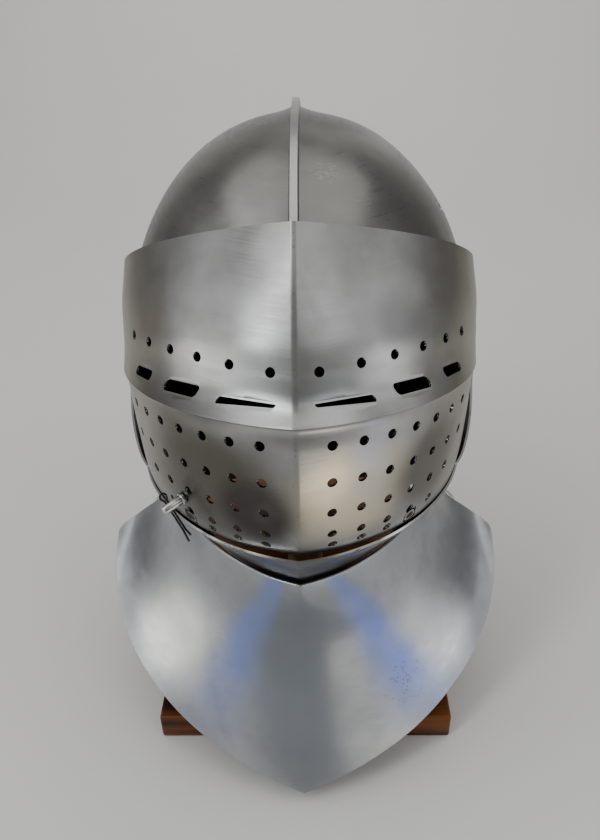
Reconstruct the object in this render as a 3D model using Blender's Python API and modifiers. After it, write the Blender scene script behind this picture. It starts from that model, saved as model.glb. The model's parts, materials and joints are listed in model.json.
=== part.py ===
# Great bascinet for foot combat, on a plain wooden stand.
# Metres, +Z up, the front of the helmet faces -Y. The origin is on the underside of the stand board.
import bpy
import bmesh
from collections import namedtuple
from math import asin, cos, hypot, pi, radians, sin, sqrt
from mathutils import Matrix, Vector

# Driving dimensions
PLATE = 0.0018              # thickness of the steel plates
GAP = 0.0003                # clearance kept between pieces that meet
PIVOT_Y = 0.018             # the visor hinge runs along X through this point
PIVOT_Z = 0.330
SKULL_RADIUS = 0.175        # skull outline about the hinge, without the comb
SKULL_HALF_WIDTH = 0.1388
SKULL_FULLNESS = 2.05       # 2 would be an ellipsoid; more is boxier
SKULL_SLICES = 25           # slices round the hinge
SKULL_BACK_RADIUS = 0.150   # the outline is drawn in behind the crown
COMB_HEIGHT = 0.0062        # comb above the skull at the crown
COMB_HALF_WIDTH = 0.0025
COMB_SLOPE = 0.0009         # the sides of the comb spread by this much at its foot
COMB_FLARE = 0.0045         # the skull rises towards the comb ...
COMB_FLARE_REACH = 0.020    # ... over this distance
NECK_Z = 0.206              # lower edge of the skull
FACE_BROW = [(-0.128, 0.600), (-0.140, 0.428), (-0.098, 0.424), (-0.050, 0.400)]
FACE_SIDE = [(-0.034, 0.375), (-0.032, 0.300), (-0.045, 0.235), (-0.0558, 0.206)]
HEARING_HOLES = [(0.004, 0.440), (0.020, 0.422)]
HEARING_HOLE_RADIUS = 0.0055
UPPER_HOLES = (0.016, 0.045, 0.071, 0.097, 0.123, 0.148)    # distances from the crease
UPPER_HOLE_RADIUS = 0.0034
UPPER_PLACE = 0.600         # place of the upper holes on the brow at the crease ...
UPPER_RISE = 1.18           # ... less this much for each metre out from it
BREATH_LINES = ((0.295, 0.35), (0.465, 0.42), (0.600, 0.62), (0.730, 1.10), (0.860, 0.60))
BREATH_COLUMNS = (7, 7, 6, 5, 4)
BREATH_FIRST = 0.0245
BREATH_PITCH = 0.0228
BREATH_RADIUS = 0.0037
BOLT_RADIUS = 0.0040
BOLT_HEAD_RADIUS = 0.0085
BOLT_HEAD_HEIGHT = 0.0042
BOLT_CLEARANCE = 0.0005     # added to the radius of the holes for the bolts
STEP_ALONG = 0.002          # steps that give the direction of a surface, across it ...
STEP_DOWN = 0.02            # ... and down it, as a part of its height
HOLE_DEPTH = 0.006          # hole cutters reach this far to each side of a plate's outer face
BOLT_INSIDE = 0.006         # the bolts end this far inside the skull's widest place
RIVET_RADIUS = 0.0019
RIVET_CLEARANCE = 0.0004
RIVET_HEAD_RADIUS = 0.0042
RIVET_HEAD_HEIGHT = 0.0018
RIVET_INNER_X = (0.1147, 0.1135)    # where the inner heads of the front and the rear rivets begin
RIVET_INNER_RADIUS = 0.0029
RIVET_INNER_HEIGHT = 0.0010
STUD_RADIUS = 0.0037
STUD_LENGTH = 0.0185
STUD_PLACE = 0.745          # where the lock stud stands on the muzzle, down it ...
STUD_DISTANCE = 0.100       # ... and out from its crease
STUD_FOOT = 0.0006          # it stands this far off the plate
STUD_COLLAR = (0.0047, 0.0022)  # radius and height
STUD_CROSS_HOLE = 0.0130    # from the foot of the stud to the hole for the pin
PIN_WAY = Vector((0.52, -0.39, -0.76))
PIN_WIRE_RADIUS = 0.0008
PIN_CLEARANCE = 0.0005      # added to the radius of the stud's cross hole
PIN_EYE_RADIUS = 0.0026
PIN_REACH = 0.029           # from the middle of the stud to the end of the longer leg
PIN_LEG_STEP = 0.003        # the other leg is this much shorter
PIN_STRAIGHT = 0.020        # the legs start to spread this far from the stud
PIN_SPREAD = 0.0009
PIN_NECK = 0.0018           # from the stud to where the eye starts
STRAP = (0.0014, 0.034, 0.014)
STRAP_BEVEL = 0.0004
STRAP_X = 0.1201            # middle of each collar strap
STRAP_Z = 0.2030
STRAP_RIVET_SPACING = 0.0215
BOARD = (0.261, 0.360, 0.027)
BOARD_FRONT_Y = -0.144
BOARD_BEVEL = 0.0025
POST_RADIUS = 0.018
POST_CAP_RADIUS = 0.034
POST_CAP_RISE = 0.006
POST_CAP_HEIGHT = 0.018      # from its top to where it starts to narrow
POST_NECK_HEIGHT = 0.034     # from its top to where it ends in the post
POST_TOP_Z = 0.5000

# One level line of a plate. Seen from above it is a pointed arch: from the crease at the front it
# sweeps back to its widest place, then follows an ellipse behind it. It falls by "fall" for each
# metre that it runs back. "sweep" is 0 for a round front and near 1 for a sharp crease.
Row = namedtuple("Row", "crease_y crease_z fall half_width widest_y sweep back")

VISOR_BROW = [
    Row(-0.1105, 0.4676, 0.62, 0.1390, 0.014, 0.41, 0.60),
    Row(-0.1380, 0.4370, 0.50, 0.1418, 0.006, 0.29, 0.60),
    Row(-0.1570, 0.4090, 0.40, 0.1420, 0.000, 0.26, 0.60),
    Row(-0.1665, 0.3880, 0.31, 0.1418, -0.004, 0.27, 0.60),
    Row(-0.1730, 0.3725, 0.25, 0.1418, -0.008, 0.22, 0.60),
    Row(-0.1865, 0.3620, 0.21, 0.1420, -0.010, 0.20, 0.60),
]
VISOR_MUZZLE = [
    Row(-0.1865, 0.3620, 0.21, 0.1420, -0.010, 0.20, 0.60),
    Row(-0.1805, 0.3560, 0.20, 0.1405, -0.010, 0.22, 0.60),
    Row(-0.1830, 0.3400, 0.15, 0.1405, -0.008, 0.24, 0.60),
    Row(-0.1843, 0.3100, 0.09, 0.1405, -0.005, 0.26, 0.60),
    Row(-0.1810, 0.2780, 0.02, 0.1400, -0.002, 0.25, 0.60),
    Row(-0.1745, 0.2560, 0.01, 0.1392, 0.000, 0.20, 0.60),
    Row(-0.1655, 0.2405, 0.00, 0.1375, 0.000, 0.12, 0.60),
]
BEVOR = [
    Row(-0.1950, 0.3750, 0.10, 0.1447, -0.005, 0.25, 0.60),
    Row(-0.1900, 0.3150, 0.05, 0.1447, -0.005, 0.28, 0.60),
    Row(-0.1780, 0.2600, 0.00, 0.1440, -0.005, 0.22, 0.60),
    Row(-0.1712, 0.2370, 0.00, 0.1370, -0.005, 0.17, 0.60),
    Row(-0.1660, 0.2210, 0.00, 0.1150, -0.003, 0.23, 0.60),
    Row(-0.1610, 0.2060, 0.00, 0.1035, 0.000, 0.25, 0.60),
]
GORGET = [
    Row(-0.1675, 0.2120, -0.02, 0.1168, 0.010, 0.22, 0.60),
    Row(-0.1690, 0.1800, -0.09, 0.1190, 0.006, 0.32, 0.60),
    Row(-0.1745, 0.1400, -0.19, 0.1280, -0.002, 0.38, 0.60),
    Row(-0.1850, 0.0950, -0.32, 0.1450, -0.012, 0.38, 0.50),
    Row(-0.1970, 0.0550, -0.45, 0.1635, -0.022, 0.39, 0.40),
    Row(-0.2110, 0.0200, -0.60, 0.1780, -0.030, 0.40, 0.30),
]
# Sights, from the crease outwards: distance of the middle, length, height at the crease's end, height
# at the far end. "lean" shifts their upper edges towards the crease, for each metre up the plate.
SIGHTS = ((0.034, 0.042, 0.0024, 0.0054), (0.087, 0.033, 0.0080, 0.0086), (0.1335, 0.025, 0.0074, 0.0074))
SIGHT_PLACE = 0.850
SIGHT_RISE = 0.65           # the sights stand higher on the plate by this share of their distance
SIGHT_LEAN = 0.45
SIGHT_CORNER = 0.30         # share of the height that each corner cuts off

VISOR_BACK = [(-0.300, 0.600), (-0.014, 0.600), (-0.014, 0.380)]
VISOR_CHEEK = [(-0.030, 0.288), (-0.052, 0.266), (-0.066, 0.240), (-0.070, 0.150), (-0.300, 0.150)]
SIDE_END_Y = 0.055          # the uncut plates run back to here
VISOR_LOBE = 0.030          # radius of the round ends at the hinge
BEVOR_RIM = [(-0.300, 0.2379), (-0.052, 0.2379), (-0.044, 0.255), (-0.034, 0.277), (-0.014, 0.300)]
BEVOR_BACK = [(0.040, 0.270), (0.012, 0.225), (0.010, 0.150), (-0.300, 0.150)]
BEVOR_LOBE = 0.027

# Rear plate: y and height of the middle of the back, on each line from the top down
REAR = [(0.1150, 0.213), (0.1155, 0.183), (0.1230, 0.144), (0.1390, 0.105), (0.1610, 0.073), (0.1900, 0.046)]
REAR_SHARE = 0.60           # the rear plate joins this share of the side edge of the front plate
GORGET_SEAM_Y = 0.004       # the front plate ends here, and the rear plate begins behind a narrow gap
GORGET_CORNER = 0.020       # its lower corners are rounded forwards by this much ...
GORGET_CORNER_PLACE = 0.62  # ... from this place down its side edge
GORGET_ROUND = 0.055        # below the neck the plate is rounded this far from its middle ...
GORGET_ROUND_FROM = 0.05    # ... growing from nothing at this place ...
GORGET_ROUND_TO = 0.40      # ... to all of it at this one
GORGET_ROUND_SLIDE = 0.74   # a point slides down by this share of its way in, which keeps the tip pointed
SEAM_GAP = 0.0014


def new_object(name, shape, collection, material=None):
    """Puts a finished bmesh in the scene under its name."""
    mesh = bpy.data.meshes.new(name)
    shape.to_mesh(mesh)
    shape.free()
    thing = bpy.data.objects.new(name, mesh)
    collection.objects.link(thing)
    if material:
        mesh.materials.append(material)
    return thing


def new_cutter(name, shape):
    cutter = new_object(name, shape, cutters)
    cutter.hide_render = True
    cutter.display_type = "WIRE"
    return cutter


def make_material(name, colour, roughness, metallic):
    material = bpy.data.materials.new(name)
    material.use_nodes = True
    shader = material.node_tree.nodes["Principled BSDF"]
    shader.inputs["Base Color"].default_value = (*colour, 1)
    shader.inputs["Roughness"].default_value = roughness
    shader.inputs["Metallic"].default_value = metallic
    return material


def blend_rows(rows, place):
    """The row at a place between 0, the first, and 1, the last, on a smooth curve through all of them."""
    spot = min(max(place, 0.0), 1.0) * (len(rows) - 1)
    first = min(int(spot), len(rows) - 2)
    t = spot - first
    around = [rows[min(max(i, 0), len(rows) - 1)] for i in range(first - 1, first + 3)]
    return Row(*(
        b + 0.5 * t * (c - a + t * (2 * a - 5 * b + 4 * c - d + t * (3 * (b - c) + d - a)))
        for a, b, c, d in zip(*around)
    ))


def row_point(row, turn):
    """The point of a row at a turn of 0, its crease, to pi/2, its widest place, and on round the back."""
    start = asin(row.sweep)
    shift = row.half_width * row.sweep / (1 - row.sweep)
    if turn <= pi / 2:
        angle = start + (pi / 2 - start) * turn / (pi / 2)
        x = (row.half_width + shift) * sin(angle) - shift
        y = row.widest_y - (row.widest_y - row.crease_y) * cos(angle) / cos(start)
    else:
        x = row.half_width * sin(turn)
        y = row.widest_y - row.back * cos(turn)
    return Vector((x, y, row.crease_z - row.fall * (y - row.crease_y)))


def row_line(row, end_y, count):
    """Points at equal steps along a row, from its crease to the place end_y."""
    fine = [row_point(row, 0)]
    turn = 0
    while fine[-1].y < end_y:
        turn += radians(0.5)
        fine.append(row_point(row, turn))
    over = (fine[-1].y - end_y) / (fine[-1].y - fine[-2].y)
    fine[-1] = fine[-1].lerp(fine[-2], over)
    lengths = [0]
    for a, b in zip(fine, fine[1:]):
        lengths.append(lengths[-1] + (b - a).length)
    points = []
    for step in range(count + 1):
        want = lengths[-1] * step / count
        i = max(k for k in range(len(fine) - 1) if lengths[k] <= want)
        points.append(fine[i].lerp(fine[i + 1], (want - lengths[i]) / (lengths[i + 1] - lengths[i])))
    return points


def along_row(row, distance):
    """The point of a row at a distance from its crease, measured along it."""
    last = row_point(row, 0)
    turn = 0
    while True:
        turn += radians(0.5)
        here = row_point(row, turn)
        step = (here - last).length
        if step >= distance:
            return last.lerp(here, distance / step)
        distance -= step
        last = here


def surface_frame(rows, place, distance):
    """Where a hole or stud stands on a plate: its point, and the way out of the plate there."""
    point = along_row(blend_rows(rows, place), distance)
    beside = along_row(blend_rows(rows, place), distance + STEP_ALONG) - point
    if place + STEP_DOWN > 1:
        below = point - along_row(blend_rows(rows, place - STEP_DOWN), distance)
    else:
        below = along_row(blend_rows(rows, place + STEP_DOWN), distance) - point
    return point, below.cross(beside).normalized()


def half_sheet(lines):
    """An open sheet through lines of points, first line at the top, faces outwards."""
    sheet = bmesh.new()
    grid = [[sheet.verts.new(point) for point in line] for line in lines]
    for upper, lower in zip(grid, grid[1:]):
        for i in range(len(upper) - 1):
            sheet.faces.new([upper[i], lower[i], lower[i + 1], upper[i + 1]])
    bmesh.ops.remove_doubles(sheet, verts=sheet.verts, dist=1e-5)
    return sheet


def add_modifier(thing, kind, **settings):
    modifier = thing.modifiers.new(kind.title(), kind)
    for name, value in settings.items():
        setattr(modifier, name, value)
    return modifier


def plate_from(name, sheet, material):
    """A plate: half a sheet, mirrored across the middle and thickened inwards."""
    thing = new_object(name, sheet, parts, material)
    thing.data.shade_smooth()
    add_modifier(thing, "MIRROR", use_axis=(True, False, False), merge_threshold=0.0001)
    add_modifier(thing, "SOLIDIFY", thickness=PLATE, offset=-1, use_even_offset=True)
    return thing


def cut(thing, cutter, operation="DIFFERENCE"):
    add_modifier(thing, "BOOLEAN", object=cutter, operation=operation, solver="EXACT")


def side_prism(name, outline, half_depth=0.3):
    """A cutter: an outline seen from the side, as (y, z) points, carried right across the helmet."""
    prism = bmesh.new()
    rim = [prism.verts.new((-half_depth, y, z)) for y, z in outline]
    face = prism.faces.new(rim)
    swept = bmesh.ops.extrude_face_region(prism, geom=[face])["geom"]
    across = [item for item in swept if isinstance(item, bmesh.types.BMVert)]
    bmesh.ops.translate(prism, verts=across, vec=(2 * half_depth, 0, 0))
    bmesh.ops.recalc_face_normals(prism, faces=prism.faces)
    return new_cutter(name, prism)


def lobe(radius, start, end):
    """Points round an arc about the hinge, seen from the side; angles in degrees from +Y towards +Z."""
    steps = 14
    angles = [radians(start + (end - start) * i / steps) for i in range(steps + 1)]
    return [(PIVOT_Y + radius * cos(a), PIVOT_Z + radius * sin(a)) for a in angles]


def standing(point, way, across=Vector((0, 0, 1))):
    """A matrix that stands a piece at a point with its Z along a way, its X as near across as it can be."""
    z = way.normalized()
    y = z.cross(across).normalized()
    return Matrix.Translation(point) @ Matrix((y.cross(z), y, z)).transposed().to_4x4()


def plug(matrix, radius, sides):
    """A round plug for a hole: its corners at both ends, in order round it."""
    angles = [2 * pi * (i + 0.5) / sides for i in range(sides)]
    return matrix, [(radius * cos(a), radius * sin(a)) for a in angles]


def sight_plug(matrix, length, inner_height, outer_height):
    """A plug for a sight: X of the matrix runs away from the crease and Y runs down the plate."""
    corners = []
    for end, height in ((1, outer_height), (-1, inner_height)):
        trim = height * SIGHT_CORNER
        tall, short = height / 2, height / 2 - trim
        far, near = end * length / 2, end * (length / 2 - trim)
        corners += [(near, -end * tall), (far, -end * short), (far, end * short), (near, end * tall)]
    return matrix, [(x + SIGHT_LEAN * y, y) for x, y in corners]


def hole_cutters(name, holes):
    """One cutter object of many plugs, each a matrix and an outline."""
    plugs = bmesh.new()
    for matrix, outline in holes:
        ends = []
        for depth in (-HOLE_DEPTH, HOLE_DEPTH):
            ends.append([plugs.verts.new(matrix @ Vector((x, y, depth))) for x, y in outline])
        plugs.faces.new(ends[0])
        plugs.faces.new(ends[1])
        for i in range(len(outline)):
            after = (i + 1) % len(outline)
            plugs.faces.new([ends[0][i], ends[0][after], ends[1][after], ends[1][i]])
    bmesh.ops.recalc_face_normals(plugs, faces=plugs.faces)
    return new_cutter(name, plugs)


def on_both_sides(holes):
    flip = Matrix.Scale(-1, 4, (1, 0, 0))
    return holes + [(flip @ matrix, outline) for matrix, outline in holes]


def bolt_hole(x):
    """A hole for a pivot bolt through a plate that stands at x from the middle."""
    matrix = standing(Vector((x, PIVOT_Y, PIVOT_Z)), Vector((1, 0, 0)))
    return plug(matrix, BOLT_RADIUS + BOLT_CLEARANCE, 16)


# Skull

def smooth_step(t):
    t = min(max(t, 0), 1)
    return t * t * (3 - 2 * t)


def skull_profile(x, comb_share):
    """Distance from the hinge line, at x from the middle, with the rise towards the comb."""
    reach = x / SKULL_HALF_WIDTH
    dome = SKULL_RADIUS * max(1 - reach**SKULL_FULLNESS, 0) ** (1 / SKULL_FULLNESS)
    return dome + comb_share * COMB_FLARE * max(1 - x / COMB_FLARE_REACH, 0) ** 2


def skull_turn_scale(angle):
    """How far the outline is drawn in: not over the crown, most from the nape down, and not at the jaw."""
    drawn_in = smooth_step((angle - radians(105)) / radians(75))
    drawn_in -= smooth_step((angle - radians(225)) / radians(50))
    return 1 - (1 - SKULL_BACK_RADIUS / SKULL_RADIUS) * drawn_in


def skull_line(angle, widths):
    """One slice of the skull, at an angle from the front over the crown to the back and on underneath."""
    line = []
    comb_share = min(max((radians(205) - angle) / radians(45), 0), 1)
    top = skull_profile(COMB_HALF_WIDTH, comb_share) + COMB_HEIGHT * comb_share
    foot = COMB_HALF_WIDTH + COMB_SLOPE
    radii = [(0, top), (COMB_HALF_WIDTH, top), (foot, top - COMB_HEIGHT * comb_share)]
    radii += [(x, skull_profile(x, comb_share)) for x in widths]
    for x, radius in radii:
        radius *= skull_turn_scale(angle)
        line.append(Vector((x, PIVOT_Y - radius * cos(angle), PIVOT_Z + radius * sin(angle))))
    return line


def make_skull(material):
    steps = 10
    widths = [SKULL_HALF_WIDTH * sin(pi / 2 * (i / steps) ** 0.9) for i in range(1, steps + 1)]
    angles = [radians(300 - 360 * i / SKULL_SLICES) for i in range(SKULL_SLICES + 1)]
    lines = [skull_line(angle, widths) for angle in angles]
    skull = plate_from("skull", half_sheet(lines), material)
    outline = FACE_BROW + FACE_SIDE + [(0.300, NECK_Z), (0.300, 0.600)]
    cut(skull, side_prism("skull_outline", outline), "INTERSECT")
    holes = [bolt_hole(SKULL_HALF_WIDTH)]
    for y, z in HEARING_HOLES:
        radius = sqrt((y - PIVOT_Y) ** 2 + (z - PIVOT_Z) ** 2)
        share = (radius / SKULL_RADIUS) ** SKULL_FULLNESS
        x = SKULL_HALF_WIDTH * (1 - share) ** (1 / SKULL_FULLNESS)
        across = (y - PIVOT_Y) / SKULL_RADIUS**2
        up = (z - PIVOT_Z) / SKULL_RADIUS**2
        out = Vector((x / SKULL_HALF_WIDTH**2, across, up))
        holes.append(plug(standing(Vector((x, y, z)), out), HEARING_HOLE_RADIUS, 12))
    cut(skull, hole_cutters("skull_holes", on_both_sides(holes)))
    return skull


# Visor

def visor_holes():
    """Every opening of the right half: upper holes, sights and breaths, in lines across the plate."""
    holes = []
    for distance in UPPER_HOLES:
        frame = surface_frame(VISOR_BROW, UPPER_PLACE - UPPER_RISE * distance, distance)
        holes.append(plug(standing(*frame), UPPER_HOLE_RADIUS, 6))
    for distance, length, inner_height, outer_height in SIGHTS:
        place = SIGHT_PLACE - SIGHT_RISE * distance
        point, out = surface_frame(VISOR_BROW, place, distance)
        beside = surface_frame(VISOR_BROW, place, distance + STEP_ALONG)[0] - point
        holes.append(sight_plug(standing(point, out, beside), length, inner_height, outer_height))
    for (place, drop), columns in zip(BREATH_LINES, BREATH_COLUMNS):
        for column in range(columns):
            distance = BREATH_FIRST + BREATH_PITCH * column
            frame = surface_frame(VISOR_MUZZLE, place + drop * distance, distance)
            holes.append(plug(standing(*frame), BREATH_RADIUS, 6))
    return holes


def make_visor(material):
    brow_lines = [row_line(blend_rows(VISOR_BROW, i / 8), SIDE_END_Y, 13) for i in range(8)]
    muzzle_lines = [row_line(blend_rows(VISOR_MUZZLE, i / 9), SIDE_END_Y, 13) for i in range(10)]
    visor = plate_from("visor", half_sheet(brow_lines + muzzle_lines), material)
    outline = VISOR_BACK + lobe(VISOR_LOBE, 110, -110) + VISOR_CHEEK
    cut(visor, side_prism("visor_outline", outline), "INTERSECT")
    holes = visor_holes() + [bolt_hole(VISOR_BROW[-1].half_width)]
    cut(visor, hole_cutters("visor_holes", on_both_sides(holes)))
    return visor


# Bevor and gorget plates

def make_bevor(material):
    lines = [row_line(blend_rows(BEVOR, i / 8), SIDE_END_Y, 12) for i in range(9)]
    bevor = plate_from("bevor", half_sheet(lines), material)
    cut(bevor, side_prism("bevor_outline", BEVOR_RIM + lobe(BEVOR_LOBE, 200, -20) + BEVOR_BACK), "INTERSECT")
    cut(bevor, hole_cutters("bevor_holes", on_both_sides([bolt_hole(BEVOR[0].half_width)])))
    return bevor


def strap_rivet_places():
    """Middle of each right-hand rivet of the collar: the front one, then the rear one."""
    seam = GORGET_SEAM_Y + SEAM_GAP / 2
    return [Vector((STRAP_X, seam + way * STRAP_RIVET_SPACING / 2, STRAP_Z)) for way in (-1, 1)]


def rivet_holes(*places):
    side = Vector((1, 0, 0))
    return [plug(standing(place, side), RIVET_RADIUS + RIVET_CLEARANCE, 12) for place in places]


def round_middle(line, place):
    """Draws the points near the crease inwards, so that the plate turns smoothly through its middle."""
    reach = GORGET_ROUND * smooth_step((place - GORGET_ROUND_FROM) / (GORGET_ROUND_TO - GORGET_ROUND_FROM))
    if reach == 0:
        return line
    above = blend_rows(GORGET, max(place - 0.02, 0))
    below = blend_rows(GORGET, min(place + 0.02, 1))
    down = Vector((0, below.crease_y - above.crease_y, below.crease_z - above.crease_z))
    normal = (line[1] - line[0]).cross(down)
    way = Vector((0, normal.y, normal.z)).normalized() + down.normalized() * GORGET_ROUND_SLIDE
    tilt = -normal.x / hypot(normal.y, normal.z)
    return [point + way * tilt * max(reach - point.x, 0) ** 2 / (2 * reach) for point in line]


def make_front_plate(material):
    lines = []
    for place in (i / 10 for i in range(11)):
        corner = max(place - GORGET_CORNER_PLACE, 0) / (1 - GORGET_CORNER_PLACE)
        line = row_line(blend_rows(GORGET, place), GORGET_SEAM_Y - GORGET_CORNER * corner**2, 11)
        lines.append(round_middle(line, place))
    plate = plate_from("front_plate", half_sheet(lines), material)
    cut(plate, hole_cutters("front_plate_holes", on_both_sides(rivet_holes(strap_rivet_places()[0]))))
    return plate


def make_rear_plate(material):
    """The rear plate carries on from the edge of the front plate, and falls to the middle of the back."""
    lines = []
    for i in range(8):
        place = i / 7
        edge = row_line(blend_rows(GORGET, place * REAR_SHARE), GORGET_SEAM_Y, 1)[1]
        spot = place * (len(REAR) - 1)
        first = min(int(spot), len(REAR) - 2)
        back = Vector((0, *REAR[first])).lerp(Vector((0, *REAR[first + 1])), spot - first)
        line = []
        for step in range(10):
            turn = pi / 2 * step / 9
            x = edge.x * cos(turn)
            y = edge.y + SEAM_GAP + (back.y - edge.y) * sin(turn)
            z = edge.z + (back.z - edge.z) * sin(turn) ** 1.2
            line.append(Vector((x, y, z)))
        lines.append(list(reversed(line)))
    sheet = half_sheet(lines)
    bmesh.ops.reverse_faces(sheet, faces=sheet.faces)
    plate = plate_from("rear_plate", sheet, material)
    cut(plate, hole_cutters("rear_plate_holes", on_both_sides(rivet_holes(strap_rivet_places()[1]))))
    return plate


def box(name, size, centre, material, bevel):
    block = bmesh.new()
    bmesh.ops.create_cube(block, size=1)
    bmesh.ops.scale(block, verts=block.verts, vec=size)
    bmesh.ops.translate(block, verts=block.verts, vec=centre)
    thing = new_object(name, block, parts, material)
    add_modifier(thing, "BEVEL", width=bevel, segments=1)
    return thing


def turned(name, profile, steps, matrix, material):
    """A turned piece: a profile of (radius, height) points from the top down, about its own Z."""
    outline = bmesh.new()
    spots = [outline.verts.new((radius, 0, height)) for radius, height in profile]
    for a, b in zip(spots, spots[1:]):
        outline.edges.new((a, b))
    thing = new_object(name, outline, parts, material)
    screw = add_modifier(thing, "SCREW", axis="Z", steps=steps, render_steps=steps)
    screw.use_merge_vertices = True
    screw.merge_threshold = 0.00001
    thing.matrix_world = matrix
    return thing


def head_profile(head_radius, head_height, shank_radius, length):
    """A domed head over a shank, from the top of the head down."""
    dome = [(head_radius * sin(a), head_height * cos(a)) for a in (0, pi / 6, pi / 3, pi / 2)]
    return dome + [(shank_radius, 0), (shank_radius, -length), (0, -length)]


def make_pivots(material):
    top = BEVOR[0].half_width + GAP
    length = top - SKULL_HALF_WIDTH + BOLT_INSIDE
    for name, side in (("pivot_left", -1), ("pivot_right", 1)):
        profile = head_profile(BOLT_HEAD_RADIUS, BOLT_HEAD_HEIGHT, BOLT_RADIUS, length)
        place = standing(Vector((side * top, PIVOT_Y, PIVOT_Z)), Vector((side, 0, 0)))
        turned(name, profile, 12, place, material)


def make_collar_straps(steel, bright):
    """A short strap across each side seam of the gorget, with a rivet into each plate."""
    for name, side in (("left", -1), ("right", 1)):
        seam = GORGET_SEAM_Y + SEAM_GAP / 2
        strap = box("collar_strap_" + name, STRAP, (side * STRAP_X, seam, STRAP_Z), steel, STRAP_BEVEL)
        places = [Vector((side * place.x, place.y, place.z)) for place in strap_rivet_places()]
        cut(strap, hole_cutters(f"strap_holes_{name}", rivet_holes(*places)))
        for place, end, inner_x in zip(places, ("front", "rear"), RIVET_INNER_X):
            top = STRAP_X + STRAP[0] / 2 + GAP
            length = top - inner_x
            end_height = -length - RIVET_INNER_HEIGHT
            inner_radius = RIVET_INNER_RADIUS
            profile = head_profile(RIVET_HEAD_RADIUS, RIVET_HEAD_HEIGHT, RIVET_RADIUS, length)[:-1]
            profile += [(inner_radius, -length), (inner_radius, end_height), (0, end_height)]
            matrix = standing(Vector((side * top, place.y, place.z)), Vector((side, 0, 0)))
            turned(f"collar_rivet_{name}_{end}", profile, 8, matrix, bright)


def make_stand(wood):
    """A plain board, and a turned post under the crown of the skull with a domed cap."""
    centre = (0, BOARD_FRONT_Y + BOARD[1] / 2, BOARD[2] / 2)
    box("stand_board", BOARD, centre, wood, BOARD_BEVEL)
    cap = []
    for angle in (0, 0.5, 1.0, pi / 2):
        cap.append((POST_CAP_RADIUS * sin(angle), POST_TOP_Z - POST_CAP_RISE * (1 - cos(angle))))
    profile = cap + [(POST_CAP_RADIUS, POST_TOP_Z - POST_CAP_HEIGHT)]
    profile += [(POST_RADIUS, POST_TOP_Z - POST_NECK_HEIGHT)]
    profile += [(POST_RADIUS, BOARD[2] + GAP), (0, BOARD[2] + GAP)]
    turned("stand_post", profile, 16, Matrix.Translation((0, PIVOT_Y, 0)), wood)


def lock_place():
    """The lock at the wearer's right: the stud's foot, the way it points, and the pin's way through it."""
    point, out = surface_frame(VISOR_MUZZLE, STUD_PLACE, STUD_DISTANCE)
    flip = Vector((-1, 1, 1))
    foot, out = point * flip, out * flip
    pin_way = (PIN_WAY - out * out.dot(PIN_WAY)).normalized()
    return foot, out, pin_way


def make_lock_stud(material):
    """A round stud with a collar at its foot, a rounded end, and a cross hole for the pin."""
    foot, out, pin_way = lock_place()
    end = STUD_RADIUS / 2
    rounded = [(STUD_RADIUS * sin(a), STUD_LENGTH - end * (1 - cos(a))) for a in (0, pi / 6, pi / 3, pi / 2)]
    collar, height = STUD_COLLAR
    profile = rounded + [(STUD_RADIUS, height), (collar, height), (collar, 0), (0, 0)]
    stud = turned("lock_stud", profile, 12, standing(foot + out * STUD_FOOT, out, pin_way), material)
    across = standing(foot + out * STUD_CROSS_HOLE, pin_way, out)
    cut(stud, hole_cutters("lock_stud_hole", [plug(across, 2 * PIN_WIRE_RADIUS + PIN_CLEARANCE, 8)]))
    return stud


def make_lock_pin(material):
    """A split pin: one wire bent back on itself, with an eye above the stud and two legs below it."""
    foot, out, pin_way = lock_place()
    centre = foot + out * STUD_CROSS_HOLE
    leg = PIN_WIRE_RADIUS + GAP / 2
    neck = -STUD_RADIUS - PIN_NECK
    route = [(PIN_REACH - PIN_LEG_STEP, -leg - PIN_SPREAD), (PIN_STRAIGHT, -leg), (neck, -leg)]
    middle = neck - 1.25 * PIN_EYE_RADIUS
    for turn in range(45, 316, 30):
        along = middle + PIN_EYE_RADIUS * cos(radians(turn))
        route.append((along, -PIN_EYE_RADIUS * sin(radians(turn))))
    route += [(neck, leg), (PIN_STRAIGHT, leg), (PIN_REACH, leg + PIN_SPREAD)]
    wire = bpy.data.curves.new("lock_pin", "CURVE")
    wire.dimensions = "3D"
    wire.bevel_depth = PIN_WIRE_RADIUS
    wire.bevel_resolution = 2
    wire.use_fill_caps = True
    spline = wire.splines.new("POLY")
    spline.points.add(len(route) - 1)
    for spot, (along, sideways) in zip(spline.points, route):
        spot.co = (*(centre + pin_way * along + out * sideways), 1)
    wire.materials.append(material)
    pin = bpy.data.objects.new("lock_pin", wire)
    parts.objects.link(pin)
    return pin


def hang_on_hinge(*pieces):
    """Parents the pieces that lift to an empty on the hinge line, and leaves them where they are."""
    hinge = bpy.data.objects.new("visor_hinge", None)
    hinge.location = (0, PIVOT_Y, PIVOT_Z)
    parts.objects.link(hinge)
    for piece in pieces:
        piece.parent = hinge
        piece.matrix_parent_inverse = Matrix.Translation(-hinge.location)


def build():
    steel = make_material("satin_steel", (0.55, 0.55, 0.54), 0.32, 1)
    bright = make_material("bright_steel", (0.62, 0.62, 0.61), 0.22, 1)
    black = make_material("black_wire", (0.03, 0.03, 0.03), 0.45, 0.6)
    wood = make_material("brown_wood", (0.20, 0.09, 0.04), 0.35, 0)
    make_skull(steel)
    visor = make_visor(steel)
    make_bevor(steel)
    make_front_plate(steel)
    make_rear_plate(steel)
    make_pivots(bright)
    make_collar_straps(steel, bright)
    stud = make_lock_stud(bright)
    pin = make_lock_pin(black)
    make_stand(wood)
    hang_on_hinge(visor, stud, pin)


for thing in list(bpy.data.objects):
    bpy.data.objects.remove(thing, do_unlink=True)
parts = bpy.data.collections.new("great_bascinet")
cutters = bpy.data.collections.new("cutters")
bpy.context.scene.collection.children.link(parts)
bpy.context.scene.collection.children.link(cutters)
build()
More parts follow.
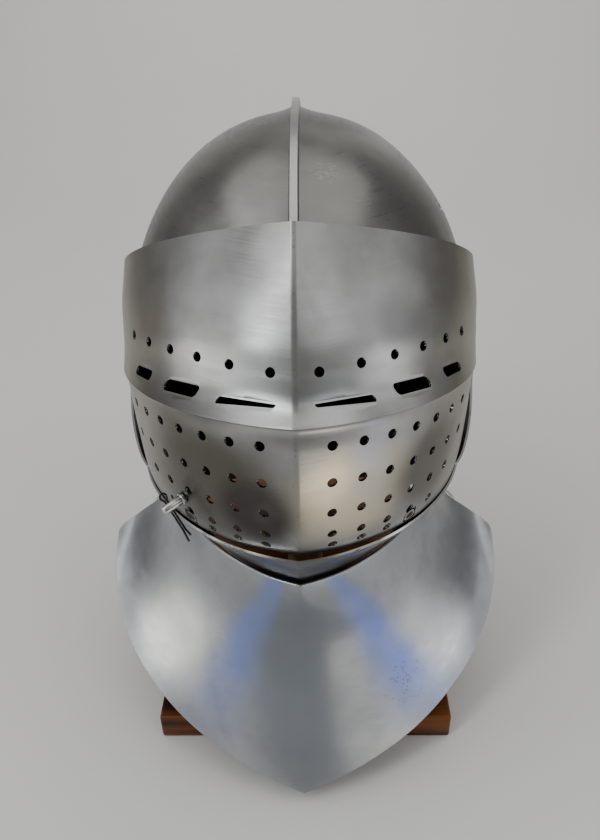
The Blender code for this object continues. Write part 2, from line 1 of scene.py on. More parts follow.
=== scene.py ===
# Great bascinet for foot combat on its wooden stand: fine plates, finishes, floor, lights and camera.
# Metres, +Z up. The front of the helmet faces -Y, and +X is the wearer's left.
import json
from collections import namedtuple
from math import asin, atan2, cos, degrees, hypot, pi, radians, sin
from types import SimpleNamespace as Sizes

import bmesh
import bpy
import numpy as np
from bmesh import ops
from mathutils import Matrix, Vector, noise


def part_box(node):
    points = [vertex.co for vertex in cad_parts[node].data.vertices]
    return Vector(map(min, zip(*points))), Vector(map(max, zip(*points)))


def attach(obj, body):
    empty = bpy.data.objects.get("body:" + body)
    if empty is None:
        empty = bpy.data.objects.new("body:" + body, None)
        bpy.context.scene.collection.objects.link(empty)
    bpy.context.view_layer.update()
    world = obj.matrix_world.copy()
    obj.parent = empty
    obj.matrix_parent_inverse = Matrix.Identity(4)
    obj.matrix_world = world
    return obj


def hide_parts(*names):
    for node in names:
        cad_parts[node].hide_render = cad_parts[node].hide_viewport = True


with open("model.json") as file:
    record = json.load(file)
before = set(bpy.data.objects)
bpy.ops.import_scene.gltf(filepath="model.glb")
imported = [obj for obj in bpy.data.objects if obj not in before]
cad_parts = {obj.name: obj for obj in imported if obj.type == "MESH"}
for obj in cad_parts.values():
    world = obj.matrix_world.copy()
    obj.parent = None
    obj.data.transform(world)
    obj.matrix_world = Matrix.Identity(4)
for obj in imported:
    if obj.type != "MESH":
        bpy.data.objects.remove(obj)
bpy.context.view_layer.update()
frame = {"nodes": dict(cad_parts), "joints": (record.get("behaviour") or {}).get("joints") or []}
print("frame loaded:", len(frame["nodes"]), "nodes")

helmetBody = "helmet_and_stand"
visorBody = "visor"
plateThickness = 0.0018
cutEdgeAngle = radians(42)
# the band of fine faces round a hole
holeMargin = 0.0016
# the steps that measure a plate's slope
probePlace = 0.01
probeDistance = 0.002
hinge = Vector(next(joint["pos_m"] for joint in frame["joints"] if joint["name"] == "visor_hinge"))


class Wire:
    # a socket that can be used in sums: 1 - mask, noise * 0.5 + base
    def __init__(self, finish, socket):
        self.finish = finish
        self.socket = socket

    def join(self, operation, *values):
        return self.finish.node("ShaderNodeMath", {"operation": operation}, dict(enumerate(values)))

    def __abs__(self):
        return self.join("ABSOLUTE", self)


def addOperator(name, operation):
    setattr(Wire, f"__{name}__", lambda self, other: self.join(operation, self, other))
    setattr(Wire, f"__r{name}__", lambda self, other: self.join(operation, other, self))


for name, operation in {"add": "ADD", "sub": "SUBTRACT", "mul": "MULTIPLY", "truediv": "DIVIDE"}.items():
    addOperator(name, operation)


class Finish:
    # one material: its constants go on the shader, and node() adds everything else
    def __init__(self, name, **constants):
        self.material = bpy.data.materials.new(name)
        self.material.use_nodes = True
        self.tree = self.material.node_tree
        self.shader = self.tree.nodes["Principled BSDF"]
        for socket, value in constants.items():
            self.shader.inputs[socket.replace("_", " ")].default_value = value
        self.place = self.node("ShaderNodeTexCoord", output="Object")
        axes = self.tree.nodes.new("ShaderNodeSeparateXYZ")
        self.tree.links.new(self.place.socket, axes.inputs[0])
        self.x, self.y, self.z = (Wire(self, socket) for socket in axes.outputs)

    def node(self, kind, settings=None, inputs=None, output=0):
        node = self.tree.nodes.new(kind)
        for name, value in (settings or {}).items():
            if name == "stops":
                for _ in range(len(value) - 2):
                    node.color_ramp.elements.new(0.5)
                for element, (position, colour) in zip(node.color_ramp.elements, value):
                    element.position = position
                    element.color = (*colour, 1)
            else:
                setattr(node, name, value)
        for key, value in (inputs or {}).items():
            if isinstance(value, Wire):
                self.tree.links.new(value.socket, node.inputs[key])
            else:
                node.inputs[key].default_value = value
        return Wire(self, node.outputs[output])

    def cloud(self, scale, detail=3.0, rough=0.5, turn=(0, 0, 0), shift=(0, 0, 0)):
        # noise on the object's own coordinates; scale is lumps for each metre along X, Y and Z
        moved = self.node("ShaderNodeMapping", {}, {
            "Vector": self.place, "Location": shift, "Rotation": turn, "Scale": scale})
        return self.node("ShaderNodeTexNoise", {}, {
            "Vector": moved, "Scale": 1.0, "Detail": detail, "Roughness": rough})

    def rise(self, value, low, high):
        # 0 below low, 1 above high, smooth between them
        return self.node("ShaderNodeMapRange", {"interpolation_type": "SMOOTHSTEP", "clamp": True}, {
            "Value": value, "From Min": low, "From Max": high, "To Min": 0.0, "To Max": 1.0})

    def near(self, spot, reach):
        # 1 at a spot, 0 beyond its reach
        gap = self.node("ShaderNodeVectorMath", {"operation": "DISTANCE"}, {0: self.place, 1: spot}, "Value")
        return 1.0 - self.rise(gap, 0.0, reach)

    def mix(self, factor, first, second):
        return self.node("ShaderNodeMix", {"data_type": "RGBA"}, {
            "Factor": factor, 6: self.shade(first), 7: self.shade(second)}, 2)

    def shade(self, colour):
        return colour if isinstance(colour, Wire) else (*colour, 1)

    def bump(self, height, strength, distance):
        self.feed("Normal", self.node("ShaderNodeBump", {}, {
            "Height": height, "Strength": strength, "Distance": distance}))

    def feed(self, socket, value):
        self.tree.links.new(value.socket, self.shader.inputs[socket])


def brushedSteel(name, look):
    finish = Finish(name, Metallic=1.0)
    rise, mix, cloud, near = finish.rise, finish.mix, finish.cloud, finish.near
    haze = cloud((9, 9, 9), 4, 0.55, shift=look["shift"])
    patches = cloud((26, 26, 20), 5, 0.6, shift=look["shift"])
    brush = cloud(look["brushScale"], 2, 0.5, look["brushTurn"])
    fine = cloud(tuple(3.1 * s for s in look["brushScale"]), 2, 0.6, look["brushTurn"])
    # painted reflection: away from the middle the colour turns towards the side tone, warm on most plates and
    # dark on the skull
    side = rise(abs(finish.x), look["sideFrom"], look["sideTo"])
    colour = mix(rise(haze, 0.35, 0.68), look["dark"], look["pale"])
    colour = mix(side * look["sideReflectionShare"], colour, look["warm"])
    colour = mix(rise(patches, 0.52, 0.72) * 0.35, colour, look["stain"])
    roughness = look["roughness"] + (haze - 0.5) * 0.16 + (brush - 0.5) * 0.16 + (patches - 0.5) * 0.1
    height = brush * 0.5 + fine * 0.5
    # a few long fine scratches
    scratch = cloud((140, 9, 700), 2, 0.5, (0.3, 0.5, 0.4))
    marks = rise(scratch, 0.735, 0.765)
    roughness += marks * 0.12
    height -= marks * 0.8
    # painted reflections and highlights: each patch draws the colour towards a lighter or darker tone
    for spot, reach, tone, share in look["paintedReflections"]:
        edge = (cloud((14, 14, 14), 3) - 0.5) * 0.5
        zone = rise(near(spot, reach) + edge, 0.05, 0.75)
        colour = mix(zone * share, colour, tone)
    for slope in look["bands"]:
        # a painted reflection of blue light: a band down the front of the gorget, from a point above the neck
        away = abs(finish.x / (0.26 - finish.z) - slope)
        blueReflection = (1.0 - rise(away, 0.02, 0.21)) * rise(-1.0 * finish.y, 0.11, 0.14)
        blueReflection *= rise(finish.z, 0.015, 0.12)
        blueReflection *= 0.45 + rise(patches, 0.3, 0.65) * 0.55
        colour = mix(blueReflection * 0.85, colour, (0.22, 0.28, 0.56))
    if look["paintedCombHighlight"]:
        # a painted highlight along the flat top of the comb
        combHighlight = 1.0 - rise(abs(finish.x), look["paintedCombHighlight"]["from"], look["paintedCombHighlight"]["to"])
        colour = mix(combHighlight, colour, look["paintedCombHighlight"]["colour"])
    if look["paintedVisorShade"]:
        # painted shade: where the visor covers the skull its colour is painted nearly black; it is also left
        # rougher there
        below = look["paintedVisorShade"]["z"] - look["paintedVisorShade"]["fall"] * (finish.y - look["paintedVisorShade"]["y"]) - finish.z
        underVisorShade = rise(below, 0.003, 0.009) * rise(-1.0 * finish.y, 0.017, 0.023)
        colour = mix(underVisorShade, colour, (0.035, 0.032, 0.03))
        roughness += underVisorShade * 0.25
    for spot, reach in look["pits"]:
        grain = finish.node("ShaderNodeTexVoronoi", {"feature": "F1"}, {
            "Vector": finish.place, "Scale": 420.0, "Randomness": 1.0}, "Distance")
        zone = near(spot, reach) * rise(cloud((90, 90, 90), 3), 0.4, 0.62)
        pit = (1.0 - rise(grain, 0.1, 0.34)) * rise(zone, 0.12, 0.5)
        colour = mix(pit * 0.8, colour, (0.1, 0.09, 0.08))
        roughness += pit * 0.25
        height -= pit * 2.0
    for spot, reach in look["scuffs"]:
        rub = near(spot, reach) * rise(cloud((160, 500, 900), 4, 0.7), 0.46, 0.66)
        colour = mix(rub * 0.35, colour, (0.7, 0.69, 0.66))
        roughness += rub * 0.14
    if look["weld"]:
        # the dressed weld along the crease: a fine line with little pits
        seam = 1.0 - rise(abs(finish.x), 0.0003, 0.0011)
        dots = rise(cloud((300, 300, 260), 2), 0.6, 0.68)
        colour = mix(seam * dots * 0.7, colour, (0.14, 0.12, 0.1))
        height -= seam * (0.4 + dots * 1.4)
    finish.feed("Base Color", colour)
    finish.feed("Roughness", roughness)
    finish.bump(height, look["bump"], 0.0004)
    return finish.material


plateLook = {
    "dark": (0.27, 0.268, 0.262),
    "pale": (0.43, 0.432, 0.425),
    # the side tone and how far the sides turn to it: a painted reflection
    "warm": (0.33, 0.295, 0.23),
    "stain": (0.24, 0.23, 0.21),
    "sideReflectionShare": 0.65,
    "sideFrom": 0.06,
    "sideTo": 0.135,
    "roughness": 0.32,
    "brushScale": (9, 9, 1100),
    "brushTurn": (0.0, 0.0, 0.0),
    "bump": 0.12,
    "shift": (0.0, 0.0, 0.0),
    # painted reflections and highlights, as patches of lighter or darker colour: spot, reach, colour, share
    "paintedReflections": [],
    # painted reflections of blue light, as bands: metres sideways for each metre down
    "bands": [],
    # a painted highlight along the top of a comb
    "paintedCombHighlight": None,
    # painted shade on the skull where the visor covers it
    "paintedVisorShade": None,
    "pits": [],
    "scuffs": [],
    "weld": False,
}

finishLooks = {
    "skullSteel": {
        **plateLook, "shift": (3.1, 0.7, 0.2), "brushScale": (14, 40, 900),
        "dark": (0.22, 0.218, 0.208), "pale": (0.37, 0.372, 0.36),
        # the sides painted dark, a painted reflection
        "warm": (0.105, 0.095, 0.074), "sideReflectionShare": 0.88,
        # a painted highlight along the top of the comb
        "paintedCombHighlight": {"from": 0.0026, "to": 0.0032, "colour": (0.46, 0.455, 0.44)},
        # painted shade on the skull under the visor
        "paintedVisorShade": {"y": -0.1105, "z": 0.4676, "fall": 0.62},
        "scuffs": [((0.022, -0.062, 0.487), 0.016)],
        # painted reflections: darker patches on the crown either side of the comb
        "paintedReflections": [((-0.018, 0.02, 0.51), 0.065, (0.13, 0.127, 0.118), 0.8),
                  ((0.02, 0.02, 0.51), 0.065, (0.13, 0.127, 0.118), 0.8)],
    },
    "visorSteel": {
        **plateLook, "weld": True, "scuffs": [((-0.079, -0.112, 0.425), 0.014)],
        # the sides tinted warm, a painted reflection
        "warm": (0.25, 0.222, 0.17), "sideReflectionShare": 0.75,
        # painted reflections: warm light and dark patches on the muzzle, highlights beside the brow's crease,
        # darker tones at the brow's sides
        "paintedReflections": [((0.045, -0.175, 0.295), 0.08, (0.6, 0.54, 0.41), 0.8),
                  ((-0.075, -0.165, 0.29), 0.115, (0.07, 0.064, 0.05), 0.88),
                  ((-0.034, -0.18, 0.28), 0.05, (0.036, 0.031, 0.03), 0.88),
                  ((0.105, -0.13, 0.288), 0.07, (0.1, 0.094, 0.075), 0.85),
                  ((-0.03, -0.178, 0.385), 0.05, (0.62, 0.63, 0.63), 0.7),
                  ((0.028, -0.178, 0.375), 0.04, (0.52, 0.53, 0.54), 0.5),
                  ((-0.12, -0.11, 0.4), 0.045, (0.28, 0.21, 0.15), 0.5),
                  ((0.075, -0.13, 0.41), 0.04, (0.22, 0.22, 0.22), 0.6)],
    },
    "bevorSteel": {
        **plateLook, "shift": (1.3, 2.2, 0.0), "weld": True,
        "dark": (0.17, 0.18, 0.2), "pale": (0.27, 0.28, 0.31), "sideReflectionShare": 0.3,
    },
    "gorgetSteel": {
        **plateLook, "shift": (5.2, 0.4, 1.1), "dark": (0.34, 0.35, 0.37), "pale": (0.47, 0.48, 0.5),
        "sideReflectionShare": 0.0, "roughness": 0.36, "brushScale": (90, 90, 260),
        "pits": [((0.085, -0.15, 0.085), 0.036)],
        # painted reflections of blue light down the front
        "bands": [-0.38, 0.5],
        "scuffs": [((-0.1, -0.125, 0.13), 0.06), ((0.1, -0.125, 0.13), 0.045)],
        # painted reflections: darker patches down the middle and right of the front, highlights at both
        # shoulders
        "paintedReflections": [((0.0, -0.17, 0.15), 0.105, (0.17, 0.19, 0.22), 0.8),
                  ((0.02, -0.19, 0.075), 0.11, (0.24, 0.265, 0.3), 0.75),
                  ((0.052, -0.172, 0.105), 0.07, (0.25, 0.27, 0.3), 0.6),
                  ((-0.115, -0.113, 0.11), 0.065, (0.66, 0.66, 0.63), 0.7),
                  ((0.115, -0.113, 0.11), 0.06, (0.58, 0.59, 0.59), 0.7)],
    },
    "rearSteel": {**plateLook, "shift": (0.2, 4.1, 0.6)},
    "fittingSteel": {
        **plateLook, "dark": (0.5, 0.5, 0.49), "pale": (0.62, 0.62, 0.61), "sideReflectionShare": 0.0, "roughness": 0.24,
        "brushScale": (400, 400, 1500),
    },
    "rimSteel": {
        **plateLook, "dark": (0.66, 0.66, 0.65), "pale": (0.8, 0.8, 0.78), "sideReflectionShare": 0.0, "roughness": 0.2,
        "bump": 0.05,
    },
    # the inside of every plate, nearly black: painted shade of the closed helmet over a dull oxidised inside
    "innerPaintedShade": {
        **plateLook, "dark": (0.03, 0.028, 0.026), "pale": (0.06, 0.057, 0.054),
        "stain": (0.03, 0.024, 0.02), "sideReflectionShare": 0.0, "roughness": 0.62, "bump": 0.2,
    },
}


def makeFinishes():
    made = {name: brushedSteel(name, look) for name, look in finishLooks.items()}
    made["blackWire"] = blackWire()
    for name, look in woodLooks.items():
        made[name] = varnishedWood(name, look)
    print("finishes made:", len(made))
    return made


def blackWire():
    finish = Finish("blackWire", Metallic=1.0)
    wear = finish.cloud((700, 700, 700), 3, 0.6)
    colour = finish.mix(finish.rise(wear, 0.55, 0.72), (0.03, 0.03, 0.032), (0.2, 0.19, 0.18))
    finish.feed("Base Color", colour)
    finish.feed("Roughness", 0.38 + (wear - 0.5) * 0.3)
    finish.bump(wear, 0.15, 0.0002)
    return finish.material


woodLooks = {
    "varnishedWood": {"deep": (0.03, 0.008, 0.002), "light": (0.19, 0.06, 0.012), "grain": (3.0, 42, 60)},
    "postWood": {"deep": (0.08, 0.035, 0.016), "light": (0.24, 0.12, 0.055), "grain": (60, 60, 4.0)},
}


def varnishedWood(name, look):
    finish = Finish(name, Metallic=0.0, Coat_Roughness=0.18, Specular_IOR_Level=0.15)
    bands = finish.cloud(look["grain"], 4, 0.6)
    pores = finish.cloud(tuple(9 * s for s in look["grain"]), 3, 0.65)
    clouds = finish.cloud((11, 11, 11), 3, 0.5)
    grain = finish.rise(bands * 0.65 + clouds * 0.35, 0.36, 0.66)
    colour = finish.mix(grain, look["deep"], look["light"])
    colour = finish.mix(finish.rise(pores, 0.56, 0.66) * 0.45, colour, look["deep"])
    finish.feed("Base Color", colour)
    finish.feed("Roughness", 0.34 + (pores - 0.5) * 0.2)
    finish.feed("Coat Weight", 0.09 - finish.rise(clouds, 0.45, 0.75) * 0.06)
    finish.bump(bands * 0.4 + pores * 0.6, 0.12, 0.0004)
    return finish.material


# Seen from above a row is a pointed arch: from its crease it sweeps back to its widest place, then
# follows an ellipse behind it. It falls by "fall" for each metre that it runs back.
Row = namedtuple("Row", "creaseY creaseZ fall halfWidth widestY sweep back", defaults=[0.6])


class PlateSurface:
    # a smooth surface through rows, read by place, 0 at the first row to 1 at the last,
    # and by distance from the crease
    def __init__(self, rows, places=140, reach=0.4, step=0.001):
        self.rows = np.array(rows)
        self.step = step
        self.table = np.array([self.rowLine(self.blend(i / places), reach) for i in range(places + 1)])

    def blend(self, place):
        spot = place * (len(self.rows) - 1)
        first = min(int(spot), len(self.rows) - 2)
        t = spot - first
        a, b, c, d = (self.rows[min(max(i, 0), len(self.rows) - 1)] for i in range(first - 1, first + 3))
        return Row(*(b + 0.5 * t * (c - a + t * (2 * a - 5 * b + 4 * c - d + t * (3 * (b - c) + d - a)))))

    def rowLine(self, row, reach):
        turn = np.radians(np.arange(0, 181, 0.5))
        start = asin(row.sweep)
        shift = row.halfWidth * row.sweep / (1 - row.sweep)
        front = turn <= pi / 2
        angle = start + (pi / 2 - start) * turn / (pi / 2)
        x = np.where(front, (row.halfWidth + shift) * np.sin(angle) - shift, row.halfWidth * np.sin(turn))
        ahead = row.widestY - (row.widestY - row.creaseY) * np.cos(angle) / cos(start)
        y = np.where(front, ahead, row.widestY - row.back * np.cos(turn))
        points = np.stack([x, y, row.creaseZ - row.fall * (y - row.creaseY)])
        along = np.concatenate([[0], np.cumsum(np.linalg.norm(np.diff(points), axis=0))])
        return np.stack([np.interp(np.arange(0, reach, self.step), along, axis) for axis in points], 1)

    def at(self, place, distance):
        i = min(max(place, 0.0), 1.0) * (len(self.table) - 1)
        j = max(distance, 0.0) / self.step
        a = min(int(i), len(self.table) - 2)
        b = min(int(j), self.table.shape[1] - 2)
        upper = self.table[a, b] * (b + 1 - j) + self.table[a, b + 1] * (j - b)
        lower = self.table[a + 1, b] * (b + 1 - j) + self.table[a + 1, b + 1] * (j - b)
        return Vector(upper * (a + 1 - i) + lower * (i - a))

    def slopes(self, place, distance):
        # how a point moves for each unit of place and for each metre of distance
        here = self.at(place, distance)
        down = (self.at(place + probePlace, distance) - here) / probePlace
        out = (self.at(place, distance + probeDistance) - here) / probeDistance
        return down, out

    def distanceTo(self, place, endY):
        # how far along a row the plate reaches the line y = endY
        i = min(max(place, 0.0), 1.0) * (len(self.table) - 1)
        a = min(int(i), len(self.table) - 2)
        line = self.table[a] * (a + 1 - i) + self.table[a + 1] * (i - a)
        return float(np.interp(endY, line[:, 1], np.arange(len(line)) * self.step))

    def find(self, y, z):
        # the place and distance of a point of the plate, from where it is seen from the side
        gaps = (self.table[:, :, 1] - y) ** 2 + (self.table[:, :, 2] - z) ** 2
        a, b = np.unravel_index(np.argmin(gaps), gaps.shape)
        place, distance = a / (len(self.table) - 1), b * self.step
        for _ in range(4):
            here = self.at(place, distance)
            down, out = self.slopes(place, distance)
            wall = down.y * out.z - down.z * out.y
            missY, missZ = y - here.y, z - here.z
            place += (missY * out.z - missZ * out.y) / wall
            distance += (down.y * missZ - down.z * missY) / wall
        return place, distance


def addObject(name, data):
    if isinstance(data, bmesh.types.BMesh):
        mesh = bpy.data.meshes.new(name)
        data.to_mesh(mesh)
        data.free()
        data = mesh
    made = bpy.data.objects.new(name, data)
    bpy.context.scene.collection.objects.link(made)
    return made


def newPiece(name, shape, finishNames, node, body=helmetBody):
    piece = addObject(name, shape)
    for finish in finishNames:
        piece.data.materials.append(finishes[finish])
    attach(piece, body)
    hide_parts(node)
    return piece


def flatGrid(columns, lines):
    # a grid of unit size on the X-Y plane: x is the share along a row, y the share down the plate
    sheet = bmesh.new()
    ops.create_grid(sheet, x_segments=columns, y_segments=lines, size=0.5)
    ops.translate(sheet, verts=sheet.verts, vec=(0.5, 0.5, 0))
    return sheet


def pairsOf(loop):
    return zip(loop, loop[1:] + loop[:1])


def punch(sheet, outline, margin):
    # cuts a hole in a flat sheet, with two rings of faces round it: outline(grow) gives its rim
    wide = outline(margin * 1.4)
    low = [min(spot[i] for spot in wide) for i in (0, 1)]
    high = [max(spot[i] for spot in wide) for i in (0, 1)]
    near = [v for v in sheet.verts if low[0] < v.co.x < high[0] and low[1] < v.co.y < high[1]]
    gone = {face for vert in near if insideLoop(vert.co, wide) for face in vert.link_faces}
    border = [e for e in {e for f in gone for e in f.edges} if any(f not in gone for f in e.link_faces)]
    ops.delete(sheet, geom=list(gone), context="FACES")
    spots = [sheet.verts.new((*spot, 0)) for spot in outline(margin)]
    rim = [sheet.edges.new(pair) for pair in pairsOf(spots)]
    ops.triangle_fill(sheet, use_beauty=True, edges=border + rim, normal=(0, 0, 1))
    for grow in (margin * 0.35, 0.0):
        made = ops.extrude_edge_only(sheet, edges=rim)["geom"]
        rim = [item for item in made if isinstance(item, bmesh.types.BMEdge)]
        fresh = {item for item in made if isinstance(item, bmesh.types.BMVert)}
        moves = []
        for index, vert in enumerate(spots):
            follower = next(e.other_vert(vert) for e in vert.link_edges if e.other_vert(vert) in fresh)
            moves.append((follower, outline(grow)[index]))
        for follower, spot in moves:
            follower.co = (*spot, 0)
        spots = [follower for follower, spot in moves]


def insideLoop(spot, loop):
    # even-odd test of a point against a closed outline
    odd = False
    for (ax, ay), (bx, by) in pairsOf(loop):
        if (ay > spot.y) != (by > spot.y) and spot.x < ax + (spot.y - ay) * (bx - ax) / (by - ay):
            odd = not odd
    return odd


def onPlate(surface, place, distance, toSheet, shape):
    # a hole's rim as points of the flat sheet: shape(grow) gives it as (out from the crease, down) in metres
    down, out = surface.slopes(place, distance)
    along = out.normalized()
    across = (down - along * down.dot(along)).normalized()

    def rim(grow):
        spots = []
        for sideways, downwards in shape(grow):
            placeStep = downwards / down.dot(across)
            distanceStep = (sideways - placeStep * down.dot(along)) / out.length
            spots.append(toSheet(place + placeStep, distance + distanceStep))
        return spots

    return rim


def roundHole(radius, count=24):
    turns = [2 * pi * (i + 0.5) / count for i in range(count)]

    def shape(grow):
        return [((radius + grow) * cos(turn), (radius + grow) * sin(turn)) for turn in turns]

    return shape


def sightHole(length, innerHeight, outerHeight, lean):
    # a slot with rounded corners, lower at the end near the crease, its upper edge shifted towards the crease
    def shape(grow):
        spots = []
        for end, downward, start in ((1, 1, 0), (-1, 1, 90), (-1, -1, 180), (1, -1, 270)):
            height = outerHeight if end > 0 else innerHeight
            corner = height * 0.42 + grow
            for i in range(8):
                turn = radians(start + 90 * (i + 0.5) / 8)
                x = end * (length / 2 + grow - corner) + corner * cos(turn)
                y = downward * (height / 2 + grow - corner) + corner * sin(turn)
                spots.append((x + lean * y, y))
        return spots

    return shape


def planish(sheet, height, lump, seed):
    # the slight waves that hammer and file leave in a plate
    sheet.normal_update()
    moves = [
        vert.normal * height * noise.noise(vert.co / lump + Vector((seed, 0, 0)))
        + vert.normal * height * 0.4 * noise.noise(vert.co / (lump * 0.4) + Vector((0, seed, 0)))
        for vert in sheet.verts
    ]
    for vert, move in zip(sheet.verts, moves):
        vert.co += move


def everything(sheet):
    return sheet.verts[:] + sheet.edges[:] + sheet.faces[:]


def wholeSheet(sheet, outwards):
    # mirrors one half, and turns its faces so that they point outwards
    ops.mirror(sheet, geom=everything(sheet), merge_dist=0.00002, axis="X")
    ops.remove_doubles(sheet, verts=sheet.verts, dist=0.00001)
    ops.recalc_face_normals(sheet, faces=sheet.faces)
    sheet.faces.ensure_lookup_table()
    widest = max(sheet.faces, key=lambda face: face.calc_center_median().x)
    if widest.normal.dot(outwards) < 0:
        ops.reverse_faces(sheet, faces=sheet.faces)


def newPlate(name, sheet, finish, node, body=helmetBody):
    # a plate has three finishes: its outside, its cut edges and its inside, which is painted nearly black as
    # shade
    return newPiece(name, sheet, [finish, "rimSteel", "innerPaintedShade"], node, body)


def addModifier(piece, name, kind, **settings):
    modifier = piece.modifiers.new(name, kind)
    for setting, value in settings.items():
        setattr(modifier, setting, value)


def finishPlate(piece, edge):
    # thickens a plate inwards with a bright cut edge, rounds its edges and shades it
    addModifier(piece, "Wall", "SOLIDIFY", thickness=plateThickness, offset=-1, material_offset=2,
                material_offset_rim=1)
    addModifier(piece, "Edges", "BEVEL", width=edge, segments=2, limit_method="ANGLE",
                angle_limit=cutEdgeAngle)
    piece.data.shade_smooth()
    addModifier(piece, "Shading", "WEIGHTED_NORMAL", keep_sharp=True, weight=50)


def makePlate(name, sheet, size, finish, node, body=helmetBody, outwards=(1, 0, 0)):
    wholeSheet(sheet, Vector(outwards))
    planish(sheet, *size.waves)
    finishPlate(newPlate(name, sheet, finish, node, body), size.edge)


# A plate's "waves" are their height, their length and where the noise is read; its "edge" is the
# rounding of its cut edges. Angles are in degrees.
skull = Sizes(
    radius=0.175, halfWidth=0.1388, fullness=2.05, backRadius=0.15,
    combHeight=0.0062, combHalfWidth=0.0025, combCorner=0.0009, flare=0.0045, flareReach=0.02,
    # angles run from the front over the crown; between these two ranges the back is drawn in
    firstAngle=-60, combEnd=205, combFade=45, drawnFrom=(105, 180), drawnTo=(225, 275),
    neckZ=0.206, columns=70, lines=180, waves=(0.00035, 0.045, 3.0), edge=0.0003,
    face=[(-0.128, 0.6), (-0.14, 0.428), (-0.098, 0.424), (-0.05, 0.4), (-0.034, 0.375),
          (-0.032, 0.3), (-0.045, 0.235), (-0.0654, 0.18), (-0.4, 0.18), (-0.4, 0.6)],
    hearingHoles=[(0.004, 0.44), (0.02, 0.422)], hearingRadius=0.0055, hearingMargin=0.0022,
)


def smoothStep(value, start, end):
    t = min(max((value - start) / (end - start), 0), 1)
    return t * t * (3 - 2 * t)


def skullDome(x):
    share = max(1 - (x / skull.halfWidth) ** skull.fullness, 0)
    return skull.radius * share ** (1 / skull.fullness)


def skullPoint(x, angle):
    # a point of the skull at a distance from its middle and an angle from the front over the crown
    comb = min(max((radians(skull.combEnd) - angle) / radians(skull.combFade), 0), 1)
    radius = skullDome(x) + comb * skull.flare * max(1 - x / skull.flareReach, 0) ** 2
    corner = skull.combCorner
    radius += (skullCrest(comb) - radius) * min(max((skull.combHalfWidth + corner - x) / corner, 0), 1)
    drawnIn = smoothStep(degrees(angle), *skull.drawnFrom)
    drawnIn -= smoothStep(degrees(angle), *skull.drawnTo)
    radius *= 1 - (1 - skull.backRadius / skull.radius) * drawnIn
    return Vector((x, hinge.y - radius * cos(angle), hinge.z + radius * sin(angle)))


def skullCrest(comb):
    flare = skull.flare * (1 - skull.combHalfWidth / skull.flareReach) ** 2
    return skullDome(skull.combHalfWidth) + comb * (flare + skull.combHeight)


def makeSkull():
    combColumns = [0.0, 0.0012, 0.0021, 0.0025, 0.0028, 0.0031, 0.0034, 0.004, 0.005]
    rest = skull.columns - len(combColumns)
    first, last = combColumns[-1], skull.halfWidth
    start = asin(first / last)
    turns = [start + (pi / 2 - start) * (i + 1) / rest for i in range(rest)]
    widths = combColumns + [last * sin(turn) for turn in turns]

    def widthAt(share):
        spot = share * (len(widths) - 1)
        i = min(int(spot), len(widths) - 2)
        return widths[i] + (widths[i + 1] - widths[i]) * (spot - i)

    def shareOf(width):
        return float(np.interp(width, widths, np.linspace(0, 1, len(widths))))

    def angleAt(share):
        return radians(skull.firstAngle + 360 * share)

    stepX, stepAngle = 0.002, 0.02
    sheet = flatGrid(len(widths) - 1, skull.lines)
    for y, z in skull.hearingHoles:
        angle = atan2(z - hinge.z, hinge.y - y)
        radius = hypot(z - hinge.z, y - hinge.y) / skull.radius
        x = skull.halfWidth * (1 - radius ** skull.fullness) ** (1 / skull.fullness)
        here = skullPoint(x, angle)
        perX = (skullPoint(x + stepX, angle) - here).length
        perAngle = (skullPoint(x, angle + stepAngle) - here).length

        def rim(grow):
            spots = []
            for sideways, onwards in roundHole(skull.hearingRadius)(grow):
                turn = degrees(angle + onwards / perAngle * stepAngle)
                spots.append((shareOf(x + sideways / perX * stepX), (turn - skull.firstAngle) / 360))
            return spots

        punch(sheet, rim, skull.hearingMargin)
    for vert in sheet.verts:
        vert.co = skullPoint(widthAt(vert.co.x), angleAt(vert.co.y))
    wholeSheet(sheet, Vector((1, 0, 0)))
    planish(sheet, *skull.waves)
    ops.bisect_plane(
        sheet, geom=everything(sheet), plane_co=(0, 0, skull.neckZ), plane_no=(0, 0, -1), clear_outer=True)
    piece = newPlate("skull_plate", sheet, "skullSteel", "skull")
    openFace(piece)
    finishPlate(piece, skull.edge)


def openFace(piece):
    # takes the face opening out of the skull, all across the front
    reach = 0.3
    prism = bmesh.new()
    corners = [prism.verts.new((-reach, y, z)) for y, z in skull.face]
    pushed = ops.extrude_face_region(prism, geom=[prism.faces.new(corners)])["geom"]
    far = [item for item in pushed if isinstance(item, bmesh.types.BMVert)]
    ops.translate(prism, verts=far, vec=(2 * reach, 0, 0))
    ops.recalc_face_normals(prism, faces=prism.faces)
    cutter = addObject("face_opening", prism)
    addModifier(piece, "Face opening", "BOOLEAN", operation="DIFFERENCE", solver="EXACT", object=cutter)
    graph = bpy.context.evaluated_depsgraph_get()
    opened = bpy.data.meshes.new_from_object(piece.evaluated_get(graph))
    piece.modifiers.clear()
    piece.data = opened
    bpy.data.objects.remove(cutter)


def sideLine(points):
    # a line seen from the side, as a function that gives its height z at y
    ys, zs = zip(*points)
    return lambda y: float(np.interp(y, ys, zs))


def lobeArc(radius, start, end, steps=24):
    angles = [radians(start + (end - start) * i / steps) for i in range(steps + 1)]
    return [(hinge.y + radius * cos(a), hinge.z + radius * sin(a)) for a in angles]


ledge = Row(-0.1865, 0.3620, 0.21, 0.1420, -0.010, 0.20)

